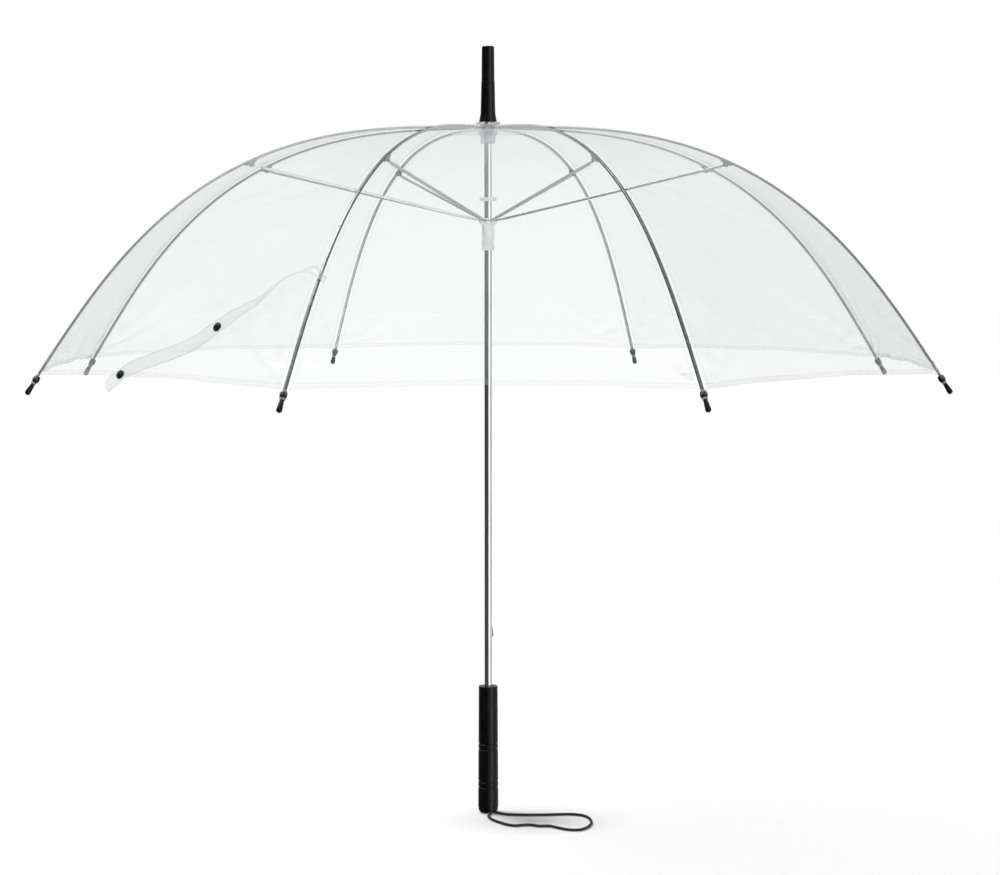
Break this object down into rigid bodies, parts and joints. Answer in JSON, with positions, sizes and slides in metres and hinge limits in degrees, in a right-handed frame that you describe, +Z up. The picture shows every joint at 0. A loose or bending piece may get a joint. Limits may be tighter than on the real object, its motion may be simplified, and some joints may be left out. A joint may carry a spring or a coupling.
{
  "type": "clear bubble umbrella",
  "caption": "Clear dome umbrella with folding steel ribs and stretchers, sliding runner, black handle with wrist loop, rib tips, ferrule and closure strap.",
  "frame": {"origin": "centre of the handle's lower end, on the ground the open umbrella stands over", "axes": "+Z up the shaft to the ferrule, -Y towards the viewer through the middle of a gore, +X to the viewer's right, where the catch springs point"},
  "size_m": [0.9234, 0.9234, 0.825],
  "materials": {
    "chrome": "polished chrome tube",
    "rib_steel": "zinc-plated fluted steel",
    "steel_wire": "bright steel wire and spring leaf",
    "clear_film": "clear soft film, faint grey-cyan tint",
    "clear_plastic": "translucent moulded plastic",
    "black_plastic": "satin black moulded plastic",
    "black_cord": "braided black cord"
  },
  "bodies": {
    "shaft": {"shaft_tube": "chrome", "crown": "clear_plastic", "crown_wire": "steel_wire", "crown_pin": "steel_wire", "ferrule": "black_plastic", "top_washer": "clear_film", "rosette": "clear_film", "stop_ring": "clear_plastic", "handle": "black_plastic", "cord_plug": "black_plastic", "wrist_cord": "black_cord"},
    "runner": {"runner": "clear_plastic", "runner_wire": "steel_wire"},
    "catch_lower": {"catch_lower": "steel_wire"},
    "catch_upper": {"catch_upper": "steel_wire"},
    "rib_1": {"rib_1": "rib_steel", "bracket_1": "rib_steel", "tip_1": "black_plastic", "canopy_1": "clear_film"},
    "stretcher_1": {"stretcher_1": "rib_steel"},
    "rib_2": {"rib_2": "rib_steel", "bracket_2": "rib_steel", "tip_2": "black_plastic", "canopy_2": "clear_film"},
    "stretcher_2": {"stretcher_2": "rib_steel"},
    "rib_3": {"rib_3": "rib_steel", "bracket_3": "rib_steel", "tip_3": "black_plastic", "canopy_3": "clear_film"},
    "stretcher_3": {"stretcher_3": "rib_steel"},
    "rib_4": {"rib_4": "rib_steel", "bracket_4": "rib_steel", "tip_4": "black_plastic", "canopy_4": "clear_film"},
    "stretcher_4": {"stretcher_4": "rib_steel"},
    "rib_5": {"rib_5": "rib_steel", "bracket_5": "rib_steel", "tip_5": "black_plastic", "canopy_5": "clear_film"},
    "stretcher_5": {"stretcher_5": "rib_steel"},
    "rib_6": {"rib_6": "rib_steel", "bracket_6": "rib_steel", "tip_6": "black_plastic", "canopy_6": "clear_film"},
    "stretcher_6": {"stretcher_6": "rib_steel"},
    "rib_7": {"rib_7": "rib_steel", "bracket_7": "rib_steel", "tip_7": "black_plastic", "canopy_7": "clear_film"},
    "stretcher_7": {"stretcher_7": "rib_steel"},
    "rib_8": {"rib_8": "rib_steel", "bracket_8": "rib_steel", "tip_8": "black_plastic", "canopy_8": "clear_film", "strap": "clear_film", "snap_socket": "black_plastic", "snap_stud": "black_plastic"},
    "stretcher_8": {"stretcher_8": "rib_steel"}
  },
  "joints": [
    {"name": "runner_slide", "type": "slide", "parent": "shaft", "child": "runner", "axis": [0, 0, -1], "range_m": [0, 0.3738], "deforming": ["rosette"]},
    {"name": "rib_1_hinge", "type": "hinge", "parent": "shaft", "child": "rib_1", "pos_m": [0.00344, -0.00831, 0.738], "axis": [0.9239, 0.3827, 0], "range_deg": [0, 57], "deforming": ["canopy_1"]},
    {"name": "stretcher_1_hinge", "type": "hinge", "parent": "rib_1", "child": "stretcher_1", "pos_m": [0.1003, -0.24215, 0.69602], "axis": [0.9239, 0.3827, 0], "range_deg": [-111, 0]},
    {"name": "rib_2_hinge", "type": "hinge", "parent": "shaft", "child": "rib_2", "pos_m": [0.00831, -0.00344, 0.738], "axis": [0.3827, 0.9239, 0], "range_deg": [0, 57], "deforming": ["canopy_2"]},
    {"name": "stretcher_2_hinge", "type": "hinge", "parent": "rib_2", "child": "stretcher_2", "pos_m": [0.24215, -0.1003, 0.69602], "axis": [0.3827, 0.9239, 0], "range_deg": [-111, 0]},
    {"name": "rib_3_hinge", "type": "hinge", "parent": "shaft", "child": "rib_3", "pos_m": [0.00831, 0.00344, 0.738], "axis": [-0.3827, 0.9239, 0], "range_deg": [0, 57], "deforming": ["canopy_3"]},
    {"name": "stretcher_3_hinge", "type": "hinge", "parent": "rib_3", "child": "stretcher_3", "pos_m": [0.24215, 0.1003, 0.69602], "axis": [-0.3827, 0.9239, 0], "range_deg": [-111, 0]},
    {"name": "rib_4_hinge", "type": "hinge", "parent": "shaft", "child": "rib_4", "pos_m": [0.00344, 0.00831, 0.738], "axis": [-0.9239, 0.3827, 0], "range_deg": [0, 57], "deforming": ["canopy_4"]},
    {"name": "stretcher_4_hinge", "type": "hinge", "parent": "rib_4", "child": "stretcher_4", "pos_m": [0.1003, 0.24215, 0.69602], "axis": [-0.9239, 0.3827, 0], "range_deg": [-111, 0]},
    {"name": "rib_5_hinge", "type": "hinge", "parent": "shaft", "child": "rib_5", "pos_m": [-0.00344, 0.00831, 0.738], "axis": [-0.9239, -0.3827, 0], "range_deg": [0, 57], "deforming": ["canopy_5"]},
    {"name": "stretcher_5_hinge", "type": "hinge", "parent": "rib_5", "child": "stretcher_5", "pos_m": [-0.1003, 0.24215, 0.69602], "axis": [-0.9239, -0.3827, 0], "range_deg": [-111, 0]},
    {"name": "rib_6_hinge", "type": "hinge", "parent": "shaft", "child": "rib_6", "pos_m": [-0.00831, 0.00344, 0.738], "axis": [-0.3827, -0.9239, 0], "range_deg": [0, 57], "deforming": ["canopy_6"]},
    {"name": "stretcher_6_hinge", "type": "hinge", "parent": "rib_6", "child": "stretcher_6", "pos_m": [-0.24215, 0.1003, 0.69602], "axis": [-0.3827, -0.9239, 0], "range_deg": [-111, 0]},
    {"name": "rib_7_hinge", "type": "hinge", "parent": "shaft", "child": "rib_7", "pos_m": [-0.00831, -0.00344, 0.738], "axis": [0.3827, -0.9239, 0], "range_deg": [0, 57], "deforming": ["canopy_7"]},
    {"name": "stretcher_7_hinge", "type": "hinge", "parent": "rib_7", "child": "stretcher_7", "pos_m": [-0.24215, -0.1003, 0.69602], "axis": [0.3827, -0.9239, 0], "range_deg": [-111, 0]},
    {"name": "rib_8_hinge", "type": "hinge", "parent": "shaft", "child": "rib_8", "pos_m": [-0.00344, -0.00831, 0.738], "axis": [0.9239, -0.3827, 0], "range_deg": [0, 57], "deforming": ["canopy_8", "strap", "snap_socket", "snap_stud"]},
    {"name": "stretcher_8_hinge", "type": "hinge", "parent": "rib_8", "child": "stretcher_8", "pos_m": [-0.1003, -0.24215, 0.69602], "axis": [0.9239, -0.3827, 0], "range_deg": [-111, 0]},
    {"name": "catch_lower_press", "type": "slide", "parent": "shaft", "child": "catch_lower", "axis": [-1, 0, 0], "range_m": [0, 0.002], "stiffness_N_per_m": 300},
    {"name": "catch_upper_press", "type": "slide", "parent": "shaft", "child": "catch_upper", "axis": [-1, 0, 0], "range_m": [0, 0.002], "stiffness_N_per_m": 300}
  ],
  "couplings": [
    {"joint": "rib_1_hinge", "follows": "runner_slide", "rad_per_m": 2.6381},
    {"joint": "stretcher_1_hinge", "follows": "runner_slide", "rad_per_m": -5.1499},
    {"joint": "rib_2_hinge", "follows": "runner_slide", "rad_per_m": 2.6381},
    {"joint": "stretcher_2_hinge", "follows": "runner_slide", "rad_per_m": -5.1499},
    {"joint": "rib_3_hinge", "follows": "runner_slide", "rad_per_m": 2.6381},
    {"joint": "stretcher_3_hinge", "follows": "runner_slide", "rad_per_m": -5.1499},
    {"joint": "rib_4_hinge", "follows": "runner_slide", "rad_per_m": 2.6381},
    {"joint": "stretcher_4_hinge", "follows": "runner_slide", "rad_per_m": -5.1499},
    {"joint": "rib_5_hinge", "follows": "runner_slide", "rad_per_m": 2.6381},
    {"joint": "stretcher_5_hinge", "follows": "runner_slide", "rad_per_m": -5.1499},
    {"joint": "rib_6_hinge", "follows": "runner_slide", "rad_per_m": 2.6381},
    {"joint": "stretcher_6_hinge", "follows": "runner_slide", "rad_per_m": -5.1499},
    {"joint": "rib_7_hinge", "follows": "runner_slide", "rad_per_m": 2.6381},
    {"joint": "stretcher_7_hinge", "follows": "runner_slide", "rad_per_m": -5.1499},
    {"joint": "rib_8_hinge", "follows": "runner_slide", "rad_per_m": 2.6381},
    {"joint": "stretcher_8_hinge", "follows": "runner_slide", "rad_per_m": -5.1499}
  ]
}
